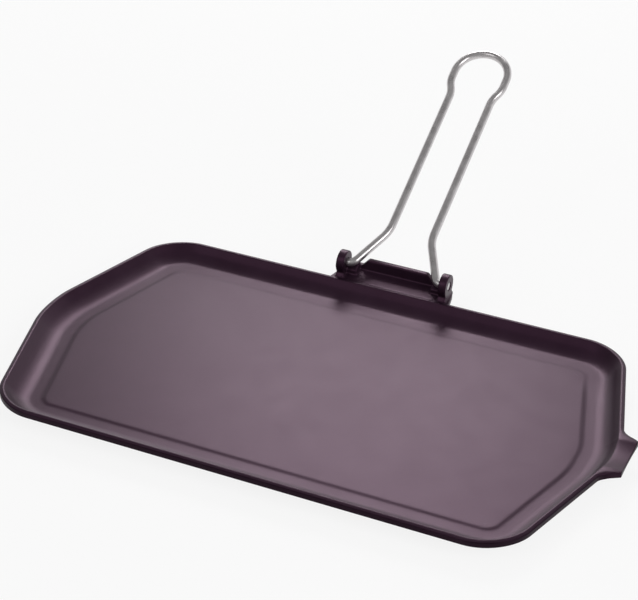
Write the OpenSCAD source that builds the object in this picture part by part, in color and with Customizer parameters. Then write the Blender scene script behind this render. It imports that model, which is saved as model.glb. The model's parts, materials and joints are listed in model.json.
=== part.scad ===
// Camp griddle plate: a cast plate with a raised cooking area, a grease gutter,
// a pouring spout and a handle bracket, and a bent wire handle that folds over it.
// Millimetres. The origin is the middle of the flat base, +Z up, +X towards the
// spout and +Y towards the handle.

/* [Plate] */
// Width across the two long sides, at the rim
plate_w = 250; // [180:1:320]
// Length of each long side, between its corners before they are rounded
long_side = 354; // [240:1:440]
// How far each pointed end stands out past the long sides' corners
end_point = 34.5; // [15:0.5:60]
// Height of the rim above the base
rim_h = 15; // [10:0.5:20]
// Width of the rounded top of the rim
rim_w = 4.5; // [3:0.25:8]
// Height of the upright outer face of the rim
lip_h = 4.4; // [3:0.1:7]
// How far the edge of the base lies inside the edge of the rim
base_inset = 14.5; // [6:0.5:24]
// Thickness of the plate under the cooking area
cook_t = 5.5; // [3.5:0.25:8]
// How far the gutter lies below the cooking area
gutter_depth = 1; // [0.5:0.25:2.5]
// Run of the sloping inner wall, seen from above
wall_run = 10.5; // [5:0.5:16]
// Width of the gutter's floor
gutter_w = 12.5; // [5:0.5:20]
// Radius of the cooking area's four corners at the long sides
cook_corner_r = 8; // [4:0.5:20]
// Radius of the cooking area's two end points
cook_end_r = 60; // [20:1:80]

/* [Spout] */
// How far the lip reaches past the end's corner before that is rounded
spout_reach = 4.5; // [2:0.5:12]
// Width of the lip
spout_lip_w = 38; // [30:1:52]
// Angle of each side of the spout to its centre line
spout_taper = 22; // [15:0.5:45]
// Radius of the flare between the spout and the rim
spout_flare_r = 13; // [3:0.5:14]
// Depth of the pouring channel below the rim
spout_dip = 2; // [1:0.25:6]
// Metal between the channel and the sides of the lip
spout_side_t = 3; // [2:0.25:6]
// Metal under the channel
spout_floor_t = 2.25; // [2:0.25:4]
// Height of the lip's sides
spout_lip_h = 3.8; // [3:0.1:6]

/* [Handle bracket] */
// How far the shelf stands out from the rim
shelf_reach = 18.5; // [16:0.5:26]
// Thickness of the shelf
shelf_t = 4.5; // [3:0.25:7]
// How far the shelf's top lies below the rim
shelf_drop = 0.5; // [0.25:0.05:1.5]
// Width that the shelf's corners spread beyond each ear
shelf_spread = 4; // [1:0.5:10]
// Distance between the ears' inner faces
ear_gap = 73; // [60:0.5:90]
// Thickness of an ear
ear_t = 6; // [4:0.25:9]
// Radius of an ear
ear_r = 8.5; // [6:0.25:11]
// Width of the neck between an ear and the shelf
ear_neck_w = 13; // [8:0.5:16]
// Distance of the hinge axis from the edge of the rim
pivot_reach = 8.4; // [7:0.1:12]
// Height of the hinge axis above the rim
pivot_rise = 8.6; // [6:0.1:12]
// Length of the raised bar
bar_w = 45.5; // [30:0.5:48]
// Run of each sloping end of the bar
bar_slope = 5; // [2:0.5:7]
// Thickness of the raised bar
bar_t = 4.5; // [3:0.25:6]
// Height of the raised bar above the rim
bar_rise = 10.4; // [6:0.2:12]
// Height of the low wall beside the bar, above the rim
web_rise = 5; // [2:0.2:6]
// Height of the ramp at the foot of the bar, above the rim
ramp_rise = 2.2; // [1:0.2:4]
// Radius at the foot of each ear
ear_foot_r = 3; // [1:0.25:4]
// Radius of the shelf's two outer corners
shelf_corner_r = 5; // [2:0.5:8]
// Width of each lug that stops a handle leg
stop_w = 7.8; // [5:0.2:10]
// How far a lug reaches in front of the hinge axis
stop_lead = 2; // [1:0.25:4]
// Gap between a lug and the leg above it
stop_clear = 0.25; // [0.1:0.05:0.5]

/* [Handle] */
// Diameter of the wire
wire_d = 6; // [4:0.25:7]
// Clearance around the wire in the ears, on the radius
pivot_clear = 0.1; // [0.05:0.05:0.4]
// Play between the wire's bends and the ears, on each side
side_play = 0.3; // [0.2:0.05:1]
// How far the wire's ends stay inside the ears' outer faces
end_recess = 0.5; // [0:0.1:2]
// Slope of the handle when it rests on the stops
rest_angle = 29; // [15:0.5:40]
// Distance from the hinge axis to the loop's far end, at the wire's centre
handle_len = 206.5; // [150:0.5:260]
// Distance between the two legs of the grip, between wire centres
grip_w = 32.6; // [24:0.2:38]
// Distance from the hinge axis to where the legs turn parallel
splay_len = 40; // [34:0.5:60]
// Diameter of the hanging loop, at the wire's centre
loop_d = 41.4; // [39:0.2:60]
// Radius of the bend out of each ear
root_bend_r = 6; // [4:0.25:9]
// Radius of the bend where each leg turns parallel
leg_bend_r = 20; // [10:0.5:26]
// Radius of the bend between each leg and the loop
neck_bend_r = 14; // [8:0.5:24]
// Straight stretch between that bend and the loop
neck_run = 2; // [1:0.5:10]

/* [Hidden] */
$fn = 64;
cast_colour = [0.33, 0.26, 0.32];
wire_colour = [0.72, 0.73, 0.75];
overlap = 2;
bead_steps = 8;
corner_steps = 12;
// A rounded corner or bend stands a hair proud, and each straight run is let into it
proud = 0.02;
seat = 0.2;

// Distances inwards from the edge of the rim, seen from above
wall_foot = rim_w + wall_run;
cook_edge = wall_foot + gutter_w;
ring_end = cook_edge + overlap;

// Heights above the base
gutter_z = cook_t - gutter_depth;
lip_z = rim_h - lip_h;
bead_r = rim_w / 2;

// The rim's six corners before rounding, anticlockwise, each with its radius
corner_r = cook_corner_r + cook_edge;
end_r = cook_end_r + cook_edge;
half_w = plate_w / 2;
half_side = long_side / 2;
end_x = half_side + end_point;
CORNERS = [
    [half_side, half_w, corner_r],
    [-half_side, half_w, corner_r],
    [-end_x, 0, end_r],
    [-half_side, -half_w, corner_r],
    [half_side, -half_w, corner_r],
    [end_x, 0, end_r],
];
SIDES = len(CORNERS);

function corner(i) = [CORNERS[i % SIDES].x, CORNERS[i % SIDES].y];
function radius(i) = CORNERS[i % SIDES].z;
function unit(v) = v / norm(v);
function heading(i) = unit(corner(i + 1) - corner(i));
function inward(i) = [-heading(i).y, heading(i).x];
function bearing(v) = atan2(v.y, v.x);
// Angle by which the outline turns at a corner
function turn(i) = acos(heading(i + SIDES - 1) * heading(i));
function tangent_len(i) = radius(i) * tan(turn(i) / 2);
// Centre of the arc that rounds a corner
function arc_centre(i) = corner(i) + heading(i) * tangent_len(i) + inward(i) * radius(i);
// Direction from that centre to where the rounding starts
function arc_start(i) = bearing(-inward(i + SIDES - 1));
// Where a side's straight stretch starts, and how long it is
function side_start(i) = corner(i) + heading(i) * tangent_len(i);
function side_len(i) = norm(corner(i + 1) - corner(i)) - tangent_len(i) - tangent_len(i + 1);

// Points of an arc, with its end points
function arc(centre, r, from, to, steps) =
    [for (k = [0:steps]) centre + r * [cos(from + (to - from) * k / steps), sin(from + (to - from) * k / steps)]];

// Section of the rim and gutter: x inwards from the rim's edge, y up
module rim_section(grow) {
    polygon(concat(
        [[base_inset - grow, grow], [-grow, lip_z]],
        arc([bead_r, rim_h - bead_r], bead_r + grow, 180, 0, bead_steps),
        [[wall_foot + grow, gutter_z + grow], [ring_end, gutter_z + grow], [ring_end, grow]]
    ));
}

module straight_rim(i) {
    translate(side_start(i))
        rotate([90, 0, bearing(heading(i)) + 90])
            linear_extrude(side_len(i))
                rim_section(0);
}

// Rounded corner of the rim, which laps over the ends of its two sides
module corner_rim(i) {
    lap = seat / radius(i) * 180 / PI;
    translate(arc_centre(i))
        rotate(arc_start(i) - lap)
            rotate_extrude(angle = turn(i) + 2 * lap, $fn = 96)
                translate([radius(i), 0])
                    mirror([1, 0])
                        rim_section(proud);
}

// Outline of the plate at a distance inwards from the rim's edge. Its points keep clear of
// the ends of the straight sides.
module plate_outline(inset) {
    polygon([
        for (i = [0:SIDES - 1])
            let (ease = turn(i) / corner_steps / 2, from = arc_start(i) + ease)
                each arc(arc_centre(i), radius(i) - inset, from, from + turn(i) - 2 * ease, corner_steps)
    ]);
}

module pan() {
    for (i = [0:SIDES - 1]) {
        straight_rim(i);
        corner_rim(i);
    }
    linear_extrude(cook_t)
        plate_outline(cook_edge);
}

// Spout seen from above, on the side of positive y
tip = [end_x + spout_reach, spout_lip_w / 2];
spout_side = [-cos(spout_taper), sin(spout_taper)];
END = SIDES - 1;
function cross2(a, b) = a.x * b.y - a.y * b.x;
// Where the spout's side would meet the rim without the flare
spout_root = corner(END)
    + heading(END) * cross2(tip - corner(END), spout_side) / cross2(heading(END), spout_side);
flare_half = acos(-heading(END) * spout_side) / 2;
flare_len = spout_flare_r / tan(flare_half);
flare_centre = spout_root + unit(heading(END) - spout_side) * spout_flare_r / sin(flare_half);

// Round channel through the lip, its metal underneath, and the level of both
channel_half = spout_lip_w / 2 - spout_side_t;
channel_r = (pow(channel_half, 2) + pow(spout_dip, 2)) / (2 * spout_dip);
channel_z = rim_h - spout_dip + channel_r;
spout_z = rim_h - spout_dip - spout_floor_t;
spout_inset = base_inset * (lip_z - spout_z) / lip_z + overlap;

// Points of the spout's outline on one side, from the tip into the plate
SPOUT_HALF = [tip, spout_root, [end_x - cook_edge, spout_root.y]];
function flip(points) = [for (i = [len(points) - 1:-1:0]) [points[i].x, -points[i].y]];

module spout_flare() {
    inner = inward(END) * bead_r;
    far = spout_root + heading(END) * flare_len;
    difference() {
        polygon([spout_root + inner, far + inner, far, flare_centre, spout_root - spout_side * flare_len]);
        translate(flare_centre)
            circle(r = spout_flare_r);
    }
}

// Spout outside the rim, which it enters by inset
module spout_outline(inset) {
    difference() {
        union() {
            polygon(concat(SPOUT_HALF, flip(SPOUT_HALF)));
            spout_flare();
            mirror([0, 1])
                spout_flare();
        }
        plate_outline(inset);
    }
}

module channel(r) {
    translate([end_x - cook_edge, 0, channel_z])
        rotate([0, 90, 0])
            cylinder(h = tip.x + overlap - end_x + cook_edge, r = r, $fn = 128);
}

module spout() {
    translate([0, 0, rim_h - spout_lip_h])
        linear_extrude(spout_lip_h)
            spout_outline(bead_r);
    intersection() {
        translate([0, 0, spout_z - overlap])
            linear_extrude(rim_h - spout_z)
                spout_outline(spout_inset);
        channel(channel_r + spout_floor_t);
    }
}

// Handle bracket: x along the rim, y out from the rim's edge, z up from the rim
ear_outer = ear_gap / 2 + ear_t;
wall_y = shelf_reach - bar_t;
// Height of the middle of the round foot of an ear, which sinks a little into the shelf
foot_z = ear_foot_r - shelf_drop - seat;
wire_drop = (wire_d / 2 + proud + stop_clear) / cos(rest_angle);
function stop_z(y) = pivot_rise + (y - pivot_reach) * tan(rest_angle) - wire_drop;

module shelf() {
    corner_x = ear_outer - shelf_corner_r;
    corner_y = shelf_reach - shelf_corner_r;
    translate([0, 0, -shelf_drop - shelf_t])
        linear_extrude(shelf_t) {
            polygon([
                [ear_outer + shelf_spread, -bead_r],
                [ear_outer, corner_y],
                [corner_x, shelf_reach],
                [-corner_x, shelf_reach],
                [-ear_outer, corner_y],
                [-ear_outer - shelf_spread, -bead_r],
            ]);
            for (side = [-1, 1])
                translate([side * corner_x, corner_y])
                    circle(r = shelf_corner_r);
        }
}

// Block across the bracket, from an outline of y and z
module across(x, w) {
    translate([x - w / 2, 0, 0])
        rotate([90, 0, 90])
            linear_extrude(w)
                children();
}

module ear_outline() {
    translate([pivot_reach, pivot_rise])
        circle(r = ear_r);
    translate([pivot_reach - ear_neck_w / 2, -overlap])
        square([ear_neck_w, pivot_rise + overlap]);
    difference() {
        translate([pivot_reach - ear_neck_w / 2 - ear_foot_r, -overlap])
            square([ear_neck_w + 2 * ear_foot_r, overlap + foot_z]);
        for (side = [-1, 1])
            translate([pivot_reach + side * (ear_neck_w / 2 + ear_foot_r), foot_z])
                circle(r = ear_foot_r);
    }
}

module ear(side) {
    difference() {
        across(side * (ear_gap + ear_t) / 2, ear_t)
            ear_outline();
        across(side * (ear_gap + ear_t) / 2, ear_t + 2 * overlap)
            translate([pivot_reach, pivot_rise])
                circle(d = wire_d + 2 * pivot_clear);
    }
}

// Wall along the shelf's outer edge, with its raised bar, and a ramp at its foot
module stop_wall() {
    half_bar = bar_w / 2;
    ear_mid = (ear_gap + ear_t) / 2;
    translate([0, shelf_reach, 0])
        rotate([90, 0, 0])
            linear_extrude(bar_t)
                polygon([
                    [-ear_mid, -overlap],
                    [ear_mid, -overlap],
                    [ear_mid, web_rise],
                    [half_bar + bar_slope, web_rise],
                    [half_bar, bar_rise],
                    [-half_bar, bar_rise],
                    [-half_bar - bar_slope, web_rise],
                    [-ear_mid, web_rise],
                ]);
    across(0, ear_gap + 3 * seat)
        polygon([
            [0, -shelf_drop - seat],
            [wall_y + seat, -shelf_drop - seat],
            [wall_y + seat, ramp_rise],
        ]);
}

// Lug in the corner between an ear and the wall, under the bend of the resting wire
module stop_lug(side) {
    front = pivot_reach - stop_lead;
    back = wall_y + 2 * seat;
    across(side * (ear_gap / 2 + seat - stop_w / 2), stop_w)
        polygon([
            [front, -overlap],
            [back, -overlap],
            [back, stop_z(back)],
            [front, stop_z(front)],
        ]);
}

module handle_bracket() {
    shelf();
    stop_wall();
    for (side = [-1, 1]) {
        ear(side);
        stop_lug(side);
    }
}

// The casting is one piece: pan, spout and handle bracket
module griddle_plate() {
    color(cast_colour)
        difference() {
            union() {
                pan();
                spout();
                translate([0, half_w, rim_h])
                    handle_bracket();
            }
            channel(channel_r);
        }
}

// Bent wire in the handle's own plane: x along the hinge axis, y away from it
root_x = ear_gap / 2 - side_play;
leg_x = grip_w / 2;
loop_r = loop_d / 2;
loop_y = handle_len - loop_r;
root_centre = [root_x, root_bend_r];
bend_centre = [leg_x + leg_bend_r, splay_len];
bend_span = bend_centre - root_centre;
// Angle of the splayed stretch to the grip
splay = bearing(bend_span) - acos((leg_bend_r - root_bend_r) / norm(bend_span));
splay_normal = [cos(splay), sin(splay)];
splay_start = root_centre - root_bend_r * splay_normal;
// Angle by which each leg turns outwards before the loop
neck_span = [loop_r + neck_bend_r, neck_run];
neck_turn = acos((leg_x + neck_bend_r) / norm(neck_span)) - bearing(neck_span);
neck_normal = [cos(neck_turn), -sin(neck_turn)];
neck_centre = [
    leg_x + neck_bend_r,
    loop_y - neck_span.x * sin(neck_turn) - neck_span.y * cos(neck_turn),
];

module wire_run(from, to) {
    translate(from)
        rotate([0, 90, bearing(to - from)])
            translate([0, 0, -seat])
                cylinder(h = norm(to - from) + 2 * seat, d = wire_d);
}

module wire_bend(centre, r, from, to) {
    translate(centre)
        rotate(from)
            rotate_extrude(angle = to - from, $fn = 96)
                translate([r, 0])
                    circle(r = wire_d / 2 + proud);
}

module wire_leg() {
    wire_run([root_x, 0], [ear_gap / 2 + ear_t - end_recess - seat, 0]);
    wire_bend(root_centre, root_bend_r, 180 + splay, 270);
    wire_run(splay_start, bend_centre - leg_bend_r * splay_normal);
    wire_bend(bend_centre, leg_bend_r, 180, 180 + splay);
    wire_run([leg_x, splay_len], [leg_x, neck_centre.y]);
    wire_bend(neck_centre, neck_bend_r, 180 - neck_turn, 180);
    wire_run(neck_centre - neck_bend_r * neck_normal, [0, loop_y] + loop_r * neck_normal);
}

module wire_handle() {
    color(wire_colour)
        translate([0, half_w + pivot_reach, rim_h + pivot_rise])
            rotate([rest_angle, 0, 0]) {
                wire_leg();
                mirror([1, 0, 0])
                    wire_leg();
                wire_bend([0, loop_y], loop_r, -neck_turn, 180 + neck_turn);
            }
}

griddle_plate();
wire_handle();
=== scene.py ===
"""Camp griddle plate: smooth casting, bent wire handle, finishes, light and camera."""
import json
import logging
import math
from dataclasses import dataclass
from enum import Enum

import bmesh
import bpy
from bmesh.types import BMEdge, BMesh, BMFace, BMVert
from bpy.types import Material, NodeSocket, Object
from mathutils import Matrix, Vector


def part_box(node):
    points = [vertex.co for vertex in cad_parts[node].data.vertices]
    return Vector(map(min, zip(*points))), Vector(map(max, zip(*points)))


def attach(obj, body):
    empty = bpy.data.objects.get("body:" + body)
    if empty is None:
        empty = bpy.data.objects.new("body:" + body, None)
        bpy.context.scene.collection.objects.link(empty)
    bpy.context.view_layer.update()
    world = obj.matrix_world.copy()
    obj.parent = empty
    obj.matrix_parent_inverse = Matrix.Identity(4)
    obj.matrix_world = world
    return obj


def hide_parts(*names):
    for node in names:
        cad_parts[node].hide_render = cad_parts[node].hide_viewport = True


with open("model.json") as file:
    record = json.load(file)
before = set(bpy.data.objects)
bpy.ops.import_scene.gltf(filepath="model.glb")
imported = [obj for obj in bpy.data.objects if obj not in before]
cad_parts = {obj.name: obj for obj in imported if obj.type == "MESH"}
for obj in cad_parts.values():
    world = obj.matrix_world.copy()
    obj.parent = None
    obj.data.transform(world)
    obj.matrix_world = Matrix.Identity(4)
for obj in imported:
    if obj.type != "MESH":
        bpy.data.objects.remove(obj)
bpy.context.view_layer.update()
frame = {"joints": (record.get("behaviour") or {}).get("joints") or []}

LOG = logging.getLogger("griddle")
MM = 0.001
UP = Vector((0, 0, 1))
# Turns a flat circle so that its axis lies along x.
ALONG_X = Matrix.Rotation(math.pi / 2.0, 4, "Y")
SIDES = (-1.0, 1.0)
ROUND_PROFILE = 0.5
SMOOTH_ANGLE = 50.0
ALL_SMOOTH = 180.0
# Runs shorter than this count as upright, and cuts snap to vertices closer than that.
UPRIGHT_RUN = 1e-6
CUT_SNAP = 1e-7
# Sizes that the bracket and the handle share.
EAR_GAP = 73 * MM
EAR_T = 6 * MM
WIRE_R = 3 * MM
REST_ANGLE = math.radians(29)
Pair = tuple[float, float]
Point = tuple[float, float, float]
Colour = tuple[float, float, float, float]


class Body(Enum):
    """CAD bodies that the pieces ride on."""

    PLATE = "plate"
    HANDLE = "handle"


class Node(Enum):
    """CAD nodes that the finished pieces stand for."""

    PLATE = "griddle_plate"
    HANDLE = "wire_handle"


class Slot(Enum):
    """Material slots of the record."""

    CAST = "cast_plate"
    WIRE = "handle_wire"


class Crown(Enum):
    """Side of the pan on which a section is followed, and the way that its face points."""

    UPPER = 1
    UNDER = -1


def smoothstep(low: float, high: float, value: float) -> float:
    """Soft step from 0 at low to 1 at high.

    Args:
        low: Value at which the step starts.
        high: Value at which the step ends. It may lie below low.
        value: Value to place on the step.

    Returns:
        Height of the step, from 0 to 1.
    """
    t = min(max((value - low) / (high - low), 0.0), 1.0)
    return t * t * (3.0 - 2.0 * t)


def soft_max(a: float, b: float, blend: float) -> float:
    """Larger of two values, rounded where they are closer than blend.

    Args:
        a: First value.
        b: Second value.
        blend: Difference below which the corner is rounded.

    Returns:
        The rounded maximum.
    """
    gap = max(blend - abs(a - b), 0.0)
    return max(a, b) + gap * gap / (4.0 * blend)


@dataclass(frozen=True)
class SectionCorner:
    """A corner of the rim's section before rounding, in metres."""

    inset: float
    height: float
    radius: float = 0.0
    steps: int = 1


def trace_section(corners: list[SectionCorner]) -> list[Pair]:
    """Rounds the corners of an open section.

    Args:
        corners: Corners in order, the first and last of which stay sharp.

    Returns:
        Pairs of inset and height along the section.
    """
    trail: list[Pair] = []
    for k, corner in enumerate(corners):
        here = Vector((corner.inset, corner.height))
        if corner.radius == 0.0 or k in (0, len(corners) - 1):
            trail.append((here.x, here.y))
            continue
        before = Vector((corners[k - 1].inset, corners[k - 1].height)) - here
        after = Vector((corners[k + 1].inset, corners[k + 1].height)) - here
        before.normalize()
        after.normalize()
        half = math.acos(max(-1.0, min(1.0, before.dot(after)))) / 2.0
        middle = here + (before + after).normalized() * corner.radius / math.sin(half)
        start = here + before * corner.radius / math.tan(half) - middle
        end = here + after * corner.radius / math.tan(half) - middle
        sweep = start.angle_signed(end)
        for step in range(corner.steps + 1):
            turn = -sweep * step / corner.steps
            spoke = Matrix.Rotation(turn, 2) @ start
            trail.append((middle.x + spoke.x, middle.y + spoke.y))
    return trail


def round_corners(bm: BMesh, verts: list[BMVert], tangent: float, segments: int) -> BMFace:
    """Rounds corners of one flat face.

    Args:
        bm: Mesh being built.
        verts: Corners of the face.
        tangent: Where the rounding starts, measured along the sides.
        segments: Number of steps round a corner.

    Returns:
        The rounded face.
    """
    made = bmesh.ops.bevel(
        bm, geom=verts, offset=tangent, offset_type="OFFSET", segments=segments,
        profile=ROUND_PROFILE, affect="VERTICES", material=-1,
    )
    return made["verts"][0].link_faces[0]


def move_made(bm: BMesh, made: list, move: Vector) -> None:
    """Moves the vertices among what an operator made."""
    bmesh.ops.translate(bm, verts=[v for v in made if isinstance(v, BMVert)], vec=move)


def edges_at(verts: list[BMVert]) -> list[BMEdge]:
    """Edges that meet at the vertices, each once."""
    return list(dict.fromkeys(e for v in verts for e in v.link_edges))


def extrude_face(bm: BMesh, face: BMFace, move: Vector) -> BMFace:
    """Pulls a face out into a block.

    Args:
        bm: Mesh being built.
        face: Face to pull.
        move: How far and which way it goes.

    Returns:
        The face at the far end.
    """
    made = bmesh.ops.extrude_face_region(bm, geom=[face])["geom"]
    move_made(bm, made, move)
    return next(f for f in made if isinstance(f, BMFace))


def add_polygon(bm: BMesh, points: list[Vector]) -> BMFace:
    """Flat face through a few corner points."""
    return bm.faces.new([bm.verts.new(p) for p in points])


def add_block(bm: BMesh, low: Vector, high: Vector) -> None:
    """Rectangular block between two corners.

    Args:
        bm: Mesh being built.
        low: Lowest corner.
        high: Highest corner.
    """
    made = bmesh.ops.create_cube(bm, size=1.0)["verts"]
    bmesh.ops.scale(bm, verts=made, vec=high - low)
    bmesh.ops.translate(bm, verts=made, vec=(low + high) / 2.0)


def mesh_object(name: str, bm: BMesh, smooth_angle: float) -> Object:
    """Turns a finished bmesh into an object at the origin.

    Args:
        name: Name of the piece.
        bm: Finished mesh, which is freed.
        smooth_angle: Edges sharper than this, in degrees, stay sharp.

    Returns:
        The new object, linked to the scene.
    """
    bmesh.ops.recalc_face_normals(bm, faces=bm.faces)
    mesh = bpy.data.meshes.new(name)
    bm.to_mesh(mesh)
    bm.free()
    mesh.shade_smooth()
    mesh.set_sharp_from_angle(angle=math.radians(smooth_angle))
    obj = bpy.data.objects.new(name, mesh)
    bpy.context.scene.collection.objects.link(obj)
    return obj


@dataclass(frozen=True)
class NonStickCoat:
    """Dark plum-grey non-stick coat on an aluminium casting, with painted shade on its outer sides: blacker
    and duller where faces look outward.
    """

    name: str = "non_stick_coat"
    deep: Colour = (0.0178, 0.0078, 0.0155, 1.0)
    pale: Colour = (0.0235, 0.0110, 0.0206, 1.0)
    tone_range: Pair = (0.35, 0.70)
    sheen_tint: Colour = (1.0, 0.49, 0.82, 1.0)
    ior: float = 1.42
    roughness: Pair = (0.365, 0.395)
    mottle_per_m: float = 60.0
    mottle_detail: float = 5.0
    mottle_weight: float = 0.6
    grain_per_m: float = 900.0
    grain_height: float = 0.06 * MM
    grain_strength: float = 0.35
    gloss: float = 0.5
    # Painted shade: outward-facing faces keep this share of the coat's colour and this gloss, as if they
    # faced a floor lying in shadow under the lip.
    outside_gloss: float = 0.16
    outside_painted_shade: float = 0.5

    def material(self) -> Material:
        """Builds the coat's node material.

        Returns:
            The material.
        """
        net = NodeNet(self.name)
        mottle = net.noise(self.mottle_per_m, self.mottle_detail, self.mottle_weight)
        grain = net.noise(self.grain_per_m)
        inputs = net.shader.inputs
        outward = net.outward()
        tone = net.ramp(mottle, (self.deep, self.pale), self.tone_range)
        # Painted shade: colour is darkened and gloss lowered on faces that look outward, as if they faced a
        # floor in shadow.
        net.link(net.dimmed(tone, net.spread(outward, (1.0, self.outside_painted_shade))), inputs["Base Color"])
        net.link(net.spread(outward, (self.gloss, self.outside_gloss)), inputs["Specular IOR Level"])
        net.link(net.spread(mottle, self.roughness), inputs["Roughness"])
        net.link(net.bump(grain, self.grain_height, self.grain_strength), inputs["Normal"])
        inputs["IOR"].default_value = self.ior
        inputs["Specular Tint"].default_value = self.sheen_tint
        return net.material


@dataclass(frozen=True)
class PlatedWire:
    """Plated steel wire with faint drawing marks."""

    name: str = "plated_wire"
    deep: Colour = (0.54, 0.515, 0.52, 1.0)
    pale: Colour = (0.66, 0.635, 0.64, 1.0)
    tone_range: Pair = (0.30, 0.70)
    roughness: Pair = (0.26, 0.36)
    metal: float = 0.9
    cloud_per_m: float = 120.0
    cloud_detail: float = 4.0
    cloud_weight: float = 0.55
    scratch_per_m: float = 1500.0
    scratch_height: float = 0.02 * MM
    scratch_strength: float = 0.25

    def material(self) -> Material:
        """Builds the wire's node material.

        Returns:
            The material.
        """
        net = NodeNet(self.name)
        cloud = net.noise(self.cloud_per_m, self.cloud_detail, self.cloud_weight)
        scratch = net.noise(self.scratch_per_m)
        inputs = net.shader.inputs
        net.link(net.ramp(cloud, (self.deep, self.pale), self.tone_range), inputs["Base Color"])
        net.link(net.spread(cloud, self.roughness), inputs["Roughness"])
        net.link(net.bump(scratch, self.scratch_height, self.scratch_strength), inputs["Normal"])
        inputs["Metallic"].default_value = self.metal
        return net.material


class NodeNet:
    """Small helper that wires up a node material on Object coordinates."""

    PATTERN_RANGE = (0.3, 0.7)

    def __init__(self, name: str) -> None:
        """Starts a material with a principled shader.

        Args:
            name: Name of the material.
        """
        self.material = bpy.data.materials.new(name)
        self.material.use_nodes = True
        self.tree = self.material.node_tree
        self.shader = self.tree.nodes["Principled BSDF"]
        coords = self.tree.nodes.new("ShaderNodeTexCoord")
        self.place = coords.outputs["Object"]
        self.normal = coords.outputs["Normal"]

    def link(self, source: NodeSocket, target: NodeSocket) -> None:
        """Joins two sockets."""
        self.tree.links.new(source, target)

    def noise(self, per_m: float, detail: float = 2.0, weight: float = 0.5) -> NodeSocket:
        """Noise pattern.

        Args:
            per_m: Features per metre.
            detail: Octaves of finer noise.
            weight: Weight of the finer octaves.

        Returns:
            The noise's value.
        """
        node = self.tree.nodes.new("ShaderNodeTexNoise")
        node.inputs["Scale"].default_value = per_m
        node.inputs["Detail"].default_value = detail
        node.inputs["Roughness"].default_value = weight
        self.link(self.place, node.inputs["Vector"])
        return node.outputs["Fac"]

    def ramp(self, value: NodeSocket, tones: tuple[Colour, Colour], between: Pair) -> NodeSocket:
        """Colours between two tones.

        Args:
            value: Pattern that chooses the tone.
            tones: First and last colour.
            between: Pattern values at which they are reached.

        Returns:
            The colour.
        """
        node = self.tree.nodes.new("ShaderNodeValToRGB")
        for stop, tone, at in zip(node.color_ramp.elements, tones, between):
            stop.position, stop.color = at, tone
        self.link(value, node.inputs["Fac"])
        return node.outputs["Color"]

    def spread(self, value: NodeSocket, limits: Pair) -> NodeSocket:
        """Maps a pattern's middle range to a range of values.

        Args:
            value: Pattern.
            limits: Values where the pattern is lowest and where it is highest.

        Returns:
            The mapped value.
        """
        node = self.tree.nodes.new("ShaderNodeMapRange")
        ends = ("From Min", "From Max", "To Min", "To Max")
        for end, number in zip(ends, self.PATTERN_RANGE + limits):
            node.inputs[end].default_value = number
        self.link(value, node.inputs["Value"])
        return node.outputs["Result"]

    def vector_math(self, operation: str, first: NodeSocket) -> bpy.types.Node:
        """Vector node with its first input joined.

        Args:
            operation: What the node does.
            first: Value of the first input.

        Returns:
            The node.
        """
        node = self.tree.nodes.new("ShaderNodeVectorMath")
        node.operation = operation
        self.link(first, node.inputs[0])
        return node

    def outward(self) -> NodeSocket:
        """How far a face looks away from the upright axis.

        Returns:
            The share, from -1 to 1.
        """
        level = self.vector_math("MULTIPLY", self.place)
        level.inputs[1].default_value = (1.0, 1.0, 0.0)
        away = self.vector_math("NORMALIZE", level.outputs["Vector"])
        facing = self.vector_math("DOT_PRODUCT", away.outputs["Vector"])
        self.link(self.normal, facing.inputs[1])
        return facing.outputs["Value"]

    def dimmed(self, tone: NodeSocket, share: NodeSocket) -> NodeSocket:
        """Darkens a colour.

        Args:
            tone: The colour.
            share: How much of it is kept.

        Returns:
            The darker colour.
        """
        node = self.vector_math("SCALE", tone)
        self.link(share, node.inputs["Scale"])
        return node.outputs["Vector"]

    def bump(self, value: NodeSocket, height: float, strength: float) -> NodeSocket:
        """Small relief.

        Args:
            value: Pattern of the relief.
            height: Depth in metres.
            strength: How much of it shows.

        Returns:
            The bent normal.
        """
        node = self.tree.nodes.new("ShaderNodeBump")
        node.inputs["Distance"].default_value = height
        node.inputs["Strength"].default_value = strength
        self.link(value, node.inputs["Height"])
        return node.outputs["Normal"]


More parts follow.
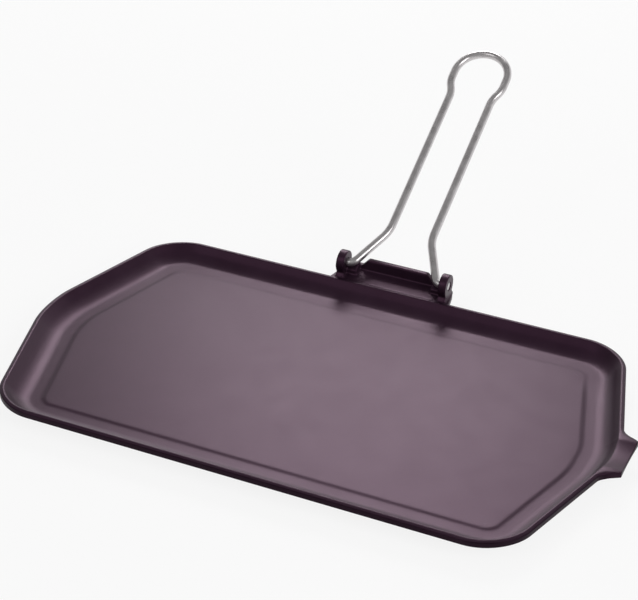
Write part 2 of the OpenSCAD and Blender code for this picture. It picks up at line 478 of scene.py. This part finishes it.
@dataclass
class GriddlePan:
    """The pan of the casting: base, gutter, cooking area, rim and spout, in metres.

    An inset is a distance inwards from the rim's edge. A pair of insets, x or y is the range over
    which a change grows from nothing to its full size.
    """

    half_width: float
    tip_x: float
    half_side: float = 177 * MM
    end_point: float = 34.5 * MM
    corner_r: float = 35.5 * MM
    end_r: float = 87.5 * MM
    rim_h: float = 15 * MM
    lip_z: float = 10.6 * MM
    lip_t: float = 0.6 * MM
    lip_r: float = 0.9 * MM
    crest_w: float = 3.0 * MM
    crest_fall: float = 0.8 * MM
    crest_r: float = 1.8 * MM
    wall_foot: float = 12.16 * MM
    foot_r: float = 18.0 * MM
    under_r: float = 0.5 * MM
    flare_r: float = 8.0 * MM
    base_inset: float = 14.5 * MM
    base_run: float = 6.0 * MM
    gutter_z: float = 5.05 * MM
    cook_edge: float = 27.5 * MM
    cook_z: float = 5.5 * MM
    step_lead: float = 4.0 * MM
    step_half: float = 1.35 * MM
    step_r: float = 15.0 * MM
    step_run: float = 5.0 * MM
    cook_shift: Pair = (1.3 * MM, -0.8 * MM)
    cook_reach: float = 2.4 * MM
    shift_insets: Pair = (4 * MM, 13 * MM)
    reach_x: Pair = (110 * MM, 150 * MM)
    reach_y: Pair = (0.0, -30 * MM)
    back_step_ease: float = 0.75
    ease_y: Pair = (60 * MM, 92 * MM)
    spout_half: float = 19 * MM
    spout_taper: float = math.radians(22)
    flare_blend: float = 12 * MM
    tip_blend: float = 1.5 * MM
    channel_half: float = 16.5 * MM
    channel_blend: float = 0.12
    spout_dip: float = 2 * MM
    spout_thin: float = 0.6 * MM
    drawn_insets: Pair = (3.2 * MM, 1.0 * MM)
    drawn_range: Pair = (1.0 * MM, 8.0 * MM)
    thin_insets: Pair = (4.0 * MM, 0.0)
    skin: float = 1.2 * MM
    corner_segments: int = 14
    end_segments: int = 16
    spout_segments: int = 44
    spout_side_cuts: int = 44
    long_edge: float = 40 * MM
    tile: float = 24 * MM

    @property
    def end_x(self) -> float:
        """Where the two end sides would meet without rounding."""
        return self.half_side + self.end_point

    def rim_section(self) -> list[Pair]:
        """Section from the lip over the rim and down the wall into the gutter.

        Returns:
            Pairs of inset and height.
        """
        trail = trace_section([
            SectionCorner(0.0, self.lip_z),
            SectionCorner(0.0, self.rim_h - self.crest_fall, self.lip_r, steps=5),
            SectionCorner(self.crest_w, self.rim_h, self.crest_r, steps=12),
            SectionCorner(self.wall_foot, self.gutter_z, self.foot_r, steps=14),
            SectionCorner(self.cook_edge - self.step_lead, self.gutter_z),
        ])
        return [(0.0, self.lip_z + self.lip_t), *trail[1:]]

    def step_section(self) -> list[Pair]:
        """Section from the gutter up the low step to the cooking area.

        Returns:
            Pairs of inset and height.
        """
        return trace_section([
            SectionCorner(self.cook_edge - self.step_lead, self.gutter_z),
            SectionCorner(self.cook_edge - self.step_half, self.gutter_z, self.step_r, steps=4),
            SectionCorner(self.cook_edge + self.step_half, self.cook_z, self.step_r, steps=4),
            SectionCorner(self.cook_edge + self.step_run, self.cook_z),
        ])

    def under_section(self) -> list[Pair]:
        """Section from just under the lip down the flare to the base.

        Returns:
            Pairs of inset and height.
        """
        trail = trace_section([
            SectionCorner(0.0, self.lip_z + self.lip_t),
            SectionCorner(0.0, self.lip_z, self.under_r, steps=3),
            SectionCorner(self.base_inset, 0.0, self.flare_r, steps=5),
            SectionCorner(self.base_inset + self.base_run, 0.0),
        ])
        return trail[1:]

    def edge_x(self, y: float) -> float:
        """Rim's edge at the spout's end before the spout is drawn out.

        Args:
            y: Distance from the middle of the plate.

        Returns:
            The edge's x.
        """
        slope = self.end_point / self.half_width
        lean = math.atan(slope)
        if abs(y) < self.end_r * math.sin(lean):
            middle = self.end_x - self.end_r / math.cos(lean)
            return middle + math.sqrt(self.end_r ** 2 - y * y)
        return self.end_x - slope * abs(y)

    def spout_x(self, y: float) -> float:
        """Edge of the spout, which flares out of the rim's edge.

        Args:
            y: Distance from the middle of the plate.

        Returns:
            The edge's x.
        """
        side = self.tip_x - (abs(y) - self.spout_half) / math.tan(self.spout_taper)
        drawn = -soft_max(-side, -self.tip_x, self.tip_blend)
        return min(soft_max(self.edge_x(y), drawn, self.flare_blend), self.tip_x)

    def channel_share(self, y: float) -> float:
        """How far the channel is sunk at y, as a share of its depth."""
        return min(soft_max(1.0 - (y / self.channel_half) ** 2, 0.0, self.channel_blend), 1.0)

    def outline(self, bm: BMesh) -> BMFace:
        """Six-sided outline with rounded corners at the level of the lip.

        Args:
            bm: Mesh being built.

        Returns:
            The outline's face, which points up.
        """
        side_x, side_y = self.half_side, self.half_width
        corners = [
            (side_x, side_y), (-side_x, side_y), (-self.end_x, 0.0),
            (-side_x, -side_y), (side_x, -side_y), (self.end_x, 0.0),
        ]
        add_polygon(bm, [Vector((x, y, self.lip_z)) for x, y in corners])
        lean = math.atan2(self.end_point, self.half_width)
        ends = {v: v.co.x for v in bm.verts if abs(v.co.y) < MM}
        sides = [v for v in bm.verts if v not in ends]
        spout = [v for v, x in ends.items() if x > 0.0]
        plain = [v for v, x in ends.items() if x < 0.0]
        side_tangent = self.corner_r * math.tan((math.pi / 2.0 - lean) / 2.0)
        end_tangent = self.end_r * math.tan(lean)
        round_corners(bm, sides, side_tangent, self.corner_segments)
        round_corners(bm, plain, end_tangent, self.end_segments)
        face = round_corners(bm, spout, end_tangent, self.spout_segments)
        long_edges = [e for e in face.edges if e.calc_length() > self.long_edge]
        spout_sides = [e for e in long_edges if min(v.co.x for v in e.verts) > self.half_side]
        bmesh.ops.bisect_edges(bm, edges=spout_sides, cuts=self.spout_side_cuts)
        return face

    def sink_rings(self, bm: BMesh, face: BMFace, section: list[Pair], way: Crown) -> BMFace:
        """Steps a face inwards along a section.

        Args:
            bm: Mesh being built.
            face: Face at the start of the section.
            section: Pairs of inset and height.
            way: Whether the face points up or down.

        Returns:
            The face that is left inside the last ring.
        """
        for before, here in zip(section, section[1:]):
            inset, rise = here[0] - before[0], here[1] - before[1]
            if inset > UPRIGHT_RUN:
                bmesh.ops.inset_region(
                    bm, faces=[face], thickness=inset, depth=rise * way.value,
                    use_even_offset=True, use_boundary=True,
                )
            else:
                covered = face
                face = extrude_face(bm, covered, UP * rise)
                if covered.is_valid:
                    bmesh.ops.delete(bm, geom=[covered], context="FACES_ONLY")
        return face

    def tile_flat(self, bm: BMesh, face: BMFace, level: float) -> None:
        """Levels a large flat face and cuts it into even tiles.

        Args:
            bm: Mesh being built.
            face: Face to cut.
            level: Its height.
        """
        for v in face.verts:
            v.co.z = level
        tiles = [face, *face.edges, *face.verts]
        for axis, half in ((0, self.end_x), (1, self.half_width)):
            steps = int(half / self.tile)
            for k in range(-steps, steps + 1):
                at, across = Vector(), Vector()
                at[axis], across[axis] = k * self.tile, 1.0
                cut = bmesh.ops.bisect_plane(bm, geom=tiles, dist=CUT_SNAP, plane_co=at, plane_no=across)
                tiles = cut["geom"]

    def inset_at(self, x: float, y: float) -> float:
        """Distance inwards from the rounded outline, before the spout is drawn out.

        Args:
            x: Distance along the plate from its middle.
            y: Distance across the plate from its middle.

        Returns:
            The distance, which is 0 on the outline.
        """
        x, y = abs(x), abs(y)
        slope = self.end_point / self.half_width
        lean = math.atan(slope)
        middle = self.end_x - self.end_r / math.cos(lean)
        if y < (x - middle) * slope:
            return self.end_r - math.hypot(x - middle, y)
        corner_y = self.half_width - self.corner_r
        corner_x = self.end_x - slope * corner_y - self.corner_r / math.cos(lean)
        if x > corner_x and (y - corner_y) > (x - corner_x) * slope:
            return self.corner_r - math.hypot(x - corner_x, y - corner_y)
        return min(self.half_width - y, (self.end_x - slope * y - x) * math.cos(lean))

    def draw_out_spout(self, bm: BMesh) -> None:
        """Pulls the rim out into the spout and sinks its channel.

        Args:
            bm: Mesh with the plain rim all round.
        """
        for v in bm.verts:
            if v.co.x < self.half_side:
                continue
            x, y, z = v.co
            inset = self.inset_at(x, y)
            drawn = self.spout_x(y) - self.edge_x(y)
            full = smoothstep(*self.drawn_range, drawn)
            upper = z > self.lip_z * (1.0 - inset / self.base_inset) + self.skin
            v.co.x += drawn * smoothstep(*self.drawn_insets, inset)
            if upper and z > self.gutter_z:
                depth = (z - self.gutter_z) / (self.rim_h - self.gutter_z)
                v.co.z -= self.spout_dip * self.channel_share(y) * depth
                fall = self.crest_fall * (1.0 - min(inset / self.crest_w, 1.0))
                v.co.z += fall * full
            elif not upper:
                v.co.z += self.spout_thin * full * smoothstep(*self.thin_insets, inset)

    def slide_cooking_area(self, bm: BMesh) -> None:
        """Sets the cooking area a little nearer the spout, most of all on the spout's near side.

        Args:
            bm: Mesh with the gutter and the step.
        """
        for v in bm.verts:
            x, y, _ = v.co
            near = smoothstep(*self.reach_y, y) * smoothstep(*self.reach_x, x)
            share = smoothstep(*self.shift_insets, self.inset_at(x, y))
            v.co.x += share * (self.cook_shift[0] + self.cook_reach * near)
            v.co.y += share * self.cook_shift[1]

    def ease_back_step(self, bm: BMesh) -> None:
        """Lets the step fade out along the back, where the gutter rises to meet the cooking area.

        Args:
            bm: Mesh with the gutter and the step, before the base is added.
        """
        for v in bm.verts:
            if v.co.z < self.cook_z:
                ease = self.back_step_ease * smoothstep(*self.ease_y, v.co.y)
                v.co.z += (self.cook_z - v.co.z) * ease

    def build(self, bm: BMesh) -> None:
        """Adds the pan to the casting's mesh.

        Args:
            bm: Mesh being built.
        """
        face = self.outline(bm)
        top = extrude_face(bm, face, UP * self.lip_t)
        bottom = next(f for f in bm.faces if f is not top and len(f.verts) == len(top.verts))
        if bottom.normal.z > 0.0:
            bottom.normal_flip()
        under = self.under_section()
        bmesh.ops.translate(bm, verts=list(bottom.verts), vec=UP * (under[0][1] - self.lip_z))
        gutter = self.sink_rings(bm, top, self.rim_section(), Crown.UPPER)
        cooking_area = self.sink_rings(bm, gutter, self.step_section(), Crown.UPPER)
        self.slide_cooking_area(bm)
        self.ease_back_step(bm)
        base = self.sink_rings(bm, bottom, under, Crown.UNDER)
        self.draw_out_spout(bm)
        self.tile_flat(bm, cooking_area, self.cook_z)
        self.tile_flat(bm, base, 0.0)


@dataclass
class HandleBracket:
    """Cast bracket on the back rim: shelf, stop wall, bar and two ears, in metres.

    Heights are above the rim, and reaches are out from the rim's edge.
    """

    rim_y: float
    rim_h: float
    reach: float = 18.5 * MM
    shelf_t: float = 4.5 * MM
    shelf_drop: float = 0.5 * MM
    shelf_spread: float = 4 * MM
    shelf_corner_r: float = 5 * MM
    shelf_corner_steps: int = 8
    ear_gap: float = EAR_GAP
    ear_t: float = EAR_T
    ear_r: float = 8.5 * MM
    ear_neck: float = 13 * MM
    ear_steps: int = 48
    neck_clear: float = 0.6 * MM
    skirt: float = 2.6 * MM
    pivot_reach: float = 8.4 * MM
    pivot_rise: float = 8.6 * MM
    bore_r: float = 3.1 * MM
    bar_w: float = 45.5 * MM
    bar_t: float = 4.5 * MM
    bar_rise: float = 10.4 * MM
    web_rise: float = 5 * MM
    bar_slope: float = 5 * MM
    ramp_rise: float = 2.2 * MM
    stop_w: float = 7.8 * MM
    stop_lead: float = 2 * MM
    rest_angle: float = REST_ANGLE
    wire_r: float = WIRE_R
    stop_clear: float = 0.3 * MM
    bead_r: float = 2.25 * MM
    hidden: float = 0.25 * MM
    core_run: float = 6 * MM
    core_drop: float = 4.2 * MM
    core_steps: int = 32
    overlap: float = 1 * MM
    voxel: float = 0.5 * MM
    smooth_rounds: int = 12
    smooth_share: float = 0.5

    @property
    def ear_outer(self) -> float:
        """Outer face of an ear, from the middle."""
        return self.ear_gap / 2.0 + self.ear_t

    def stop_rise(self, y: float) -> float:
        """Height of a stop lug under the resting wire at a reach."""
        under = (self.wire_r + self.stop_clear) / math.cos(self.rest_angle)
        return self.pivot_rise + (y - self.pivot_reach) * math.tan(self.rest_angle) - under

    def add_shelf(self, bm: BMesh) -> None:
        """Flat shelf that the ears and the wall stand on.

        Args:
            bm: Mesh being built.
        """
        wide = self.ear_outer + self.shelf_spread
        low = -self.shelf_drop - self.shelf_t
        face = add_polygon(bm, [
            Vector((wide, -self.bead_r, low)), Vector((self.ear_outer, self.reach, low)),
            Vector((-self.ear_outer, self.reach, low)), Vector((-wide, -self.bead_r, low)),
        ])
        outer = [v for v in face.verts if v.co.y > 0.0]
        face = round_corners(bm, outer, self.shelf_corner_r, self.shelf_corner_steps)
        extrude_face(bm, face, UP * self.shelf_t)

    def add_wall(self, bm: BMesh) -> None:
        """Raised bar with sloping ends, the ramp at its foot and the two stop lugs.

        Args:
            bm: Mesh being built.
        """
        wall_y = self.reach - self.bar_t
        sunk_y = wall_y + self.overlap
        half_bar = self.bar_w / 2.0
        slope_x = half_bar + self.bar_slope
        ear_mid = (self.ear_gap + self.ear_t) / 2.0
        foot = -self.shelf_drop - self.shelf_t / 2.0
        wall = add_polygon(bm, [Vector((x, wall_y, z)) for x, z in (
            (-ear_mid, foot), (ear_mid, foot), (ear_mid, self.web_rise),
            (slope_x, self.web_rise), (half_bar, self.bar_rise),
            (-half_bar, self.bar_rise), (-slope_x, self.web_rise), (-ear_mid, self.web_rise),
        )])
        extrude_face(bm, wall, Vector((0, self.bar_t, 0)))
        ramp = add_polygon(bm, [Vector((-ear_mid, y, z)) for y, z in (
            (0.0, foot), (sunk_y, foot), (sunk_y, self.ramp_rise), (0.0, -self.shelf_drop),
        )])
        extrude_face(bm, ramp, Vector((2.0 * ear_mid, 0, 0)))
        lead_y = self.pivot_reach - self.stop_lead
        for side in SIDES:
            ends = side * (self.ear_gap / 2.0 + self.overlap), side * (self.ear_gap / 2.0 - self.stop_w)
            lug = add_polygon(bm, [Vector((min(ends), y, z)) for y, z in (
                (lead_y, foot), (sunk_y, foot),
                (sunk_y, self.stop_rise(sunk_y)), (lead_y, self.stop_rise(lead_y)),
            )])
            extrude_face(bm, lug, Vector((abs(ends[0] - ends[1]), 0, 0)))

    def add_ear(self, bm: BMesh, side: float) -> None:
        """Disc ear with its bore, neck and flared foot.

        Args:
            bm: Mesh being built.
            side: -1 for the left ear and 1 for the right.
        """
        low = min(side * self.ear_gap / 2.0, side * self.ear_outer)
        turn = Matrix.Translation((low, self.pivot_reach, self.pivot_rise)) @ ALONG_X
        rims = []
        for r in (self.ear_r, self.bore_r):
            made = bmesh.ops.create_circle(bm, segments=self.ear_steps, radius=r, matrix=turn)["verts"]
            rims += edges_at(made)
        ring = bmesh.ops.bridge_loops(bm, edges=rims)["faces"]
        made = bmesh.ops.extrude_face_region(bm, geom=ring)["geom"]
        move_made(bm, made, Vector((self.ear_t, 0, 0)))
        foot = -self.shelf_drop - self.shelf_t / 2.0
        neck = self.ear_neck / 2.0
        top = self.pivot_rise - self.bore_r - self.neck_clear
        add_block(
            bm, Vector((low, self.pivot_reach - neck, foot)),
            Vector((low + self.ear_t, self.pivot_reach + neck, top)),
        )
        spread = neck + self.skirt
        skirt = add_polygon(bm, [Vector((low, self.pivot_reach + y, z)) for y, z in (
            (-spread, foot), (spread, foot), (spread, -self.shelf_drop),
            (neck, self.skirt), (-neck, self.skirt), (-spread, -self.shelf_drop),
        )])
        extrude_face(bm, skirt, Vector((self.ear_t, 0, 0)))

    def add_rim_core(self, bm: BMesh) -> None:
        """Stretch of rim just under the pan's own surface, so that the shelf blends into it.

        Args:
            bm: Mesh being built.
        """
        half = self.ear_outer + self.shelf_spread + self.core_run
        r = self.bead_r - self.hidden
        turn = Matrix.Translation((0, -self.bead_r, -self.bead_r)) @ ALONG_X
        bmesh.ops.create_cone(
            bm, cap_ends=True, segments=self.core_steps, radius1=r, radius2=r, depth=2.0 * half, matrix=turn,
        )
        low, high = Vector((-half, -self.bead_r, -self.core_drop)), Vector((half, -self.hidden, -self.bead_r))
        add_block(bm, low, high)

    def build(self, bm: BMesh) -> None:
        """Blends the bracket's forms into one casting and adds it to the mesh.

        Args:
            bm: Mesh being built.
        """
        rough = bmesh.new()
        self.add_shelf(rough)
        self.add_wall(rough)
        for side in SIDES:
            self.add_ear(rough, side)
        self.add_rim_core(rough)
        bmesh.ops.translate(rough, verts=list(rough.verts), vec=Vector((0, self.rim_y, self.rim_h)))
        blank = mesh_object("bracket_blank", rough, ALL_SMOOTH)
        remesh = blank.modifiers.new("blend", "REMESH")
        remesh.mode = "VOXEL"
        remesh.voxel_size = self.voxel
        smooth = blank.modifiers.new("soften", "SMOOTH")
        smooth.factor = self.smooth_share
        smooth.iterations = self.smooth_rounds
        cast = blank.evaluated_get(bpy.context.evaluated_depsgraph_get())
        bm.from_mesh(cast.data)
        mesh = blank.data
        bpy.data.objects.remove(blank)
        bpy.data.meshes.remove(mesh)


@dataclass
class GriddleCasting:
    """The one-piece casting: pan, spout and handle bracket."""

    pan: GriddlePan
    bracket: HandleBracket
    name: str = "griddle_casting"

    def build(self) -> Object:
        """Builds the casting's mesh.

        Returns:
            The casting's object.
        """
        bm = bmesh.new()
        self.pan.build(bm)
        bmesh.ops.recalc_face_normals(bm, faces=bm.faces)
        self.bracket.build(bm)
        return mesh_object(self.name, bm, SMOOTH_ANGLE)

    def dress(self, obj: Object, coat: NonStickCoat) -> None:
        """Coats the casting and hangs it on its body.

        Args:
            obj: The casting's object.
            coat: Its finish.
        """
        obj.data.materials.append(coat.material())
        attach(obj, Body.PLATE.value)
        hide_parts(Node.PLATE.value)


@dataclass
class WireHandle:
    """Keyhole-shaped handle of one bent wire, drawn in its own plane, in metres.

    In that plane x runs along the hinge and y away from it.
    """

    hinge: Vector
    wire_r: float = WIRE_R
    rest_angle: float = REST_ANGLE
    ear_gap: float = EAR_GAP
    ear_t: float = EAR_T
    end_recess: float = 0.5 * MM
    side_play: float = 0.3 * MM
    length: float = 206.5 * MM
    grip_w: float = 32.6 * MM
    splay_len: float = 40 * MM
    loop_d: float = 41.4 * MM
    root_bend_r: float = 6 * MM
    leg_bend_r: float = 30 * MM
    loop_run: float = 6 * MM
    neck_bend_r: float = 24 * MM
    neck_run: float = 2 * MM
    sides: int = 28
    leg_steps: int = 14
    neck_steps: int = 12
    loop_steps: int = 32
    end_bevel: float = 0.5 * MM
    end_bevel_steps: int = 2
    merge: float = 0.01 * MM
    name: str = "bent_wire_handle"

    def run(self, bm: BMesh, loop: list[BMEdge], move: Vector) -> list[BMEdge]:
        """Draws the wire straight on.

        Args:
            bm: Mesh being built.
            loop: Edges round the wire's open end.
            move: How far and which way it goes.

        Returns:
            Edges round the new open end.
        """
        made = bmesh.ops.extrude_edge_only(bm, edges=loop)["geom"]
        move_made(bm, made, move)
        ends = {v for v in made if isinstance(v, BMVert)}
        return [e for e in made if isinstance(e, BMEdge) and set(e.verts) <= ends]

    def bend(
        self, bm: BMesh, loop: list[BMEdge], centre: Vector, angle: float, steps: int,
    ) -> list[BMEdge]:
        """Bends the wire round a centre in its own plane.

        Args:
            bm: Mesh being built.
            loop: Edges round the wire's open end.
            centre: Middle of the bend.
            angle: Turn, anticlockwise where positive.
            steps: Number of steps round the bend.

        Returns:
            Edges round the new open end.
        """
        made = bmesh.ops.spin(
            bm, geom=loop, cent=centre, axis=UP, angle=angle, steps=steps, use_duplicate=False,
        )["geom_last"]
        return [e for e in made if isinstance(e, BMEdge)]

    def build(self) -> Object:
        """Bends half the wire, mirrors it and lays it at its resting angle.

        Returns:
            The handle's object.
        """
        root_x = self.ear_gap / 2.0 - self.side_play
        end_x = self.ear_gap / 2.0 + self.ear_t - self.end_recess
        leg_x, loop_r = self.grip_w / 2.0, self.loop_d / 2.0
        loop_y = self.length - loop_r
        root = Vector((root_x, self.root_bend_r, 0))
        knee = Vector((leg_x + self.leg_bend_r, self.splay_len, 0))
        span = knee - root
        splay = math.atan2(span.y, span.x) - math.acos((self.leg_bend_r - self.root_bend_r) / span.length)
        splay_normal = Vector((math.cos(splay), math.sin(splay), 0))
        neck_span = Vector((loop_r + self.neck_bend_r, self.neck_run))
        neck = math.acos((leg_x + self.neck_bend_r) / neck_span.length) - math.atan2(neck_span.y, neck_span.x)
        low_y = loop_y - self.loop_run
        neck_y = low_y - neck_span.x * math.sin(neck) - neck_span.y * math.cos(neck)

        bm = bmesh.new()
        turn = Matrix.Translation((end_x, 0, 0)) @ ALONG_X
        made = bmesh.ops.create_circle(
            bm, segments=self.sides, radius=self.wire_r, cap_ends=True, matrix=turn,
        )["verts"]
        tip = edges_at(made)
        loop = self.run(bm, tip, Vector((root_x - end_x, 0, 0)))
        loop = self.bend(bm, loop, root, splay - math.pi / 2.0, self.leg_steps)
        leg_start = root - splay_normal * self.root_bend_r
        leg_end = knee - splay_normal * self.leg_bend_r
        loop = self.run(bm, loop, leg_end - leg_start)
        loop = self.bend(bm, loop, knee, -splay, self.leg_steps)
        loop = self.run(bm, loop, Vector((0, neck_y - self.splay_len, 0)))
        neck_middle = Vector((leg_x + self.neck_bend_r, neck_y, 0))
        loop = self.bend(bm, loop, neck_middle, -neck, self.neck_steps)
        loop = self.run(bm, loop, Vector((math.sin(neck), math.cos(neck), 0)) * self.neck_run)
        loop = self.bend(bm, loop, Vector((0, low_y, 0)), neck, self.neck_steps)
        loop = self.run(bm, loop, Vector((0, self.loop_run, 0)))
        self.bend(bm, loop, Vector((0, loop_y, 0)), math.pi / 2.0, self.loop_steps)
        bmesh.ops.bevel(
            bm, geom=tip, offset=self.end_bevel, offset_type="OFFSET", segments=self.end_bevel_steps,
            profile=ROUND_PROFILE, affect="EDGES", material=-1,
        )
        half = bm.verts[:] + bm.edges[:] + bm.faces[:]
        bmesh.ops.mirror(bm, geom=half, axis="X", merge_dist=self.merge)
        bmesh.ops.remove_doubles(bm, verts=bm.verts, dist=self.merge)
        lay = Matrix.Translation(self.hinge) @ Matrix.Rotation(self.rest_angle, 4, "X")
        bmesh.ops.transform(bm, matrix=lay, verts=bm.verts)
        return mesh_object(self.name, bm, SMOOTH_ANGLE)

    def dress(self, obj: Object, plating: PlatedWire) -> None:
        """Plates the wire and hangs it on its body.

        Args:
            obj: The handle's object.
            plating: Its finish.
        """
        obj.data.materials.append(plating.material())
        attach(obj, Body.HANDLE.value)
        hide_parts(Node.HANDLE.value)


@dataclass(frozen=True)
class SoftBox:
    """Soft lamp: where it hangs, its size in metres and its watts."""

    name: str
    at: Point
    width: float
    height: float
    power: float


@dataclass
class Studio:
    """Floor, light and camera."""

    floor_size: float = 40.0
    floor_drop: float = 0.2 * MM
    floor_tone: float = 0.93
    floor_cloud: float = 0.01
    clouds_per_m: float = 3.0
    cloud_range: Pair = (0.3, 0.7)
    paper_roughness: float = 0.9
    paper_glow: float = 0.86
    sweep_y: float = 3.0
    sweep_h: float = 2.4
    sweep_steps: int = 12
    sweep_smooth: float = 60.0
    world_level: float = 0.27
    boxes: tuple[SoftBox, ...] = (
        SoftBox("key_softbox", (-0.52, 1.43, 1.18), 0.7, 0.6, 10.4),
        SoftBox("low_softbox", (-0.95, 1.65, 0.40), 0.45, 0.5, 0.9),
        SoftBox("fill_softbox", (2.6, -0.7, 1.6), 1.6, 1.6, 35.0),
        SoftBox("front_softbox", (-1.0, -1.9, 1.8), 1.2, 1.2, 9.0),
    )
    sensor_w: float = 36.0
    lens: float = 108.298
    camera_at: Point = (0.4283, -0.9862, 0.7116)
    camera_right: Point = (0.91115, 0.41139, 0.02370)
    camera_up: Point = (-0.22896, 0.45760, 0.85917)
    camera_back: Point = (0.34262, -0.78826, 0.51113)

    def paper(self) -> Material:
        """White studio paper that the eye and reflections see as pale, and that keeps shadows.

        Returns:
            The paper's material.
        """
        net = NodeNet("studio_paper")
        inputs = net.shader.inputs
        cloud = net.noise(self.clouds_per_m)
        tones = tuple((t, t, t, 1.0) for t in (self.floor_tone, self.floor_tone + self.floor_cloud))
        net.link(net.ramp(cloud, tones, self.cloud_range), inputs["Base Color"])
        inputs["Roughness"].default_value = self.paper_roughness
        inputs["Specular IOR Level"].default_value = 0.0
        nodes = net.tree.nodes
        path = nodes.new("ShaderNodeLightPath")
        seen = path.outputs["Is Camera Ray"]
        for kind in ("Is Glossy Ray", "Is Transmission Ray"):
            join = nodes.new("ShaderNodeMath")
            join.operation = "MAXIMUM"
            net.link(seen, join.inputs[0])
            net.link(path.outputs[kind], join.inputs[1])
            seen = join.outputs["Value"]
        share = nodes.new("ShaderNodeMath")
        share.operation = "MULTIPLY"
        share.inputs[1].default_value = self.paper_glow
        net.link(seen, share.inputs[0])
        white = nodes.new("ShaderNodeEmission")
        white.inputs["Strength"].default_value = 1.0
        mix = nodes.new("ShaderNodeMixShader")
        net.link(share.outputs["Value"], mix.inputs["Fac"])
        net.link(net.shader.outputs["BSDF"], mix.inputs[1])
        net.link(white.outputs["Emission"], mix.inputs[2])
        net.link(mix.outputs["Shader"], nodes["Material Output"].inputs["Surface"])
        return net.material

    def floor(self) -> None:
        """Paper floor that sweeps up far behind the plate."""
        bm = bmesh.new()
        half = self.floor_size / 2.0
        bmesh.ops.create_grid(bm, x_segments=1, y_segments=1, size=half)
        bmesh.ops.translate(bm, verts=bm.verts, vec=Vector((0, self.sweep_y - half, -self.floor_drop)))
        far = [e for e in bm.edges if all(v.co.y > self.sweep_y - MM for v in e.verts)]
        made = bmesh.ops.extrude_edge_only(bm, edges=far)["geom"]
        move_made(bm, made, UP * self.sweep_h)
        bmesh.ops.bevel(
            bm, geom=far, offset=self.sweep_h / 2.0, offset_type="OFFSET", segments=self.sweep_steps,
            profile=ROUND_PROFILE, affect="EDGES", material=-1,
        )
        obj = mesh_object("studio_floor", bm, self.sweep_smooth)
        obj.data.materials.append(self.paper())

    def lamp(self, box: SoftBox) -> None:
        """Hangs a softbox that points at the plate.

        Args:
            box: The softbox.
        """
        data = bpy.data.lights.new(box.name, "AREA")
        data.shape = "RECTANGLE"
        data.size, data.size_y, data.energy = box.width, box.height, box.power
        obj = bpy.data.objects.new(box.name, data)
        at = Vector(box.at)
        obj.matrix_world = Matrix.Translation(at) @ (-at).to_track_quat("-Z", "Y").to_matrix().to_4x4()
        bpy.context.scene.collection.objects.link(obj)

    def light(self) -> None:
        """Even world light and the softboxes, of which the key hangs behind the plate."""
        world = bpy.data.worlds.new("studio_world")
        bpy.context.scene.world = world
        world.use_nodes = True
        back = world.node_tree.nodes["Background"]
        back.inputs["Color"].default_value = (1.0, 1.0, 1.0, 1.0)
        back.inputs["Strength"].default_value = self.world_level
        for box in self.boxes:
            self.lamp(box)

    def camera(self) -> None:
        """Camera at the photograph's angle."""
        data = bpy.data.cameras.new("photo_camera")
        data.sensor_width = self.sensor_w
        data.sensor_fit = "HORIZONTAL"
        data.lens = self.lens
        obj = bpy.data.objects.new("photo_camera", data)
        turn = Matrix((self.camera_right, self.camera_up, self.camera_back)).transposed()
        obj.matrix_world = Matrix.Translation(self.camera_at) @ turn.to_4x4()
        bpy.context.scene.collection.objects.link(obj)
        bpy.context.scene.camera = obj


def main() -> None:
    """Builds the griddle plate and its studio."""
    logging.basicConfig(level=logging.INFO, format="%(message)s")
    bpy.context.scene.view_settings.view_transform = "Standard"
    low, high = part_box(Node.PLATE.value)
    hinge = Vector(frame["joints"][0]["pos_m"])
    studio = Studio()
    studio.camera()
    studio.floor()
    studio.light()
    pan = GriddlePan(half_width=-low[1], tip_x=high[0])
    casting = GriddleCasting(pan, HandleBracket(rim_y=pan.half_width, rim_h=pan.rim_h))
    cast = casting.build()
    casting.dress(cast, NonStickCoat())
    LOG.info("%s: %d vertices", cast.name, len(cast.data.vertices))
    handle = WireHandle(hinge=hinge)
    wire = handle.build()
    handle.dress(wire, PlatedWire())
    LOG.info("%s: %d vertices", wire.name, len(wire.data.vertices))


if __name__ == "__main__":
    main()
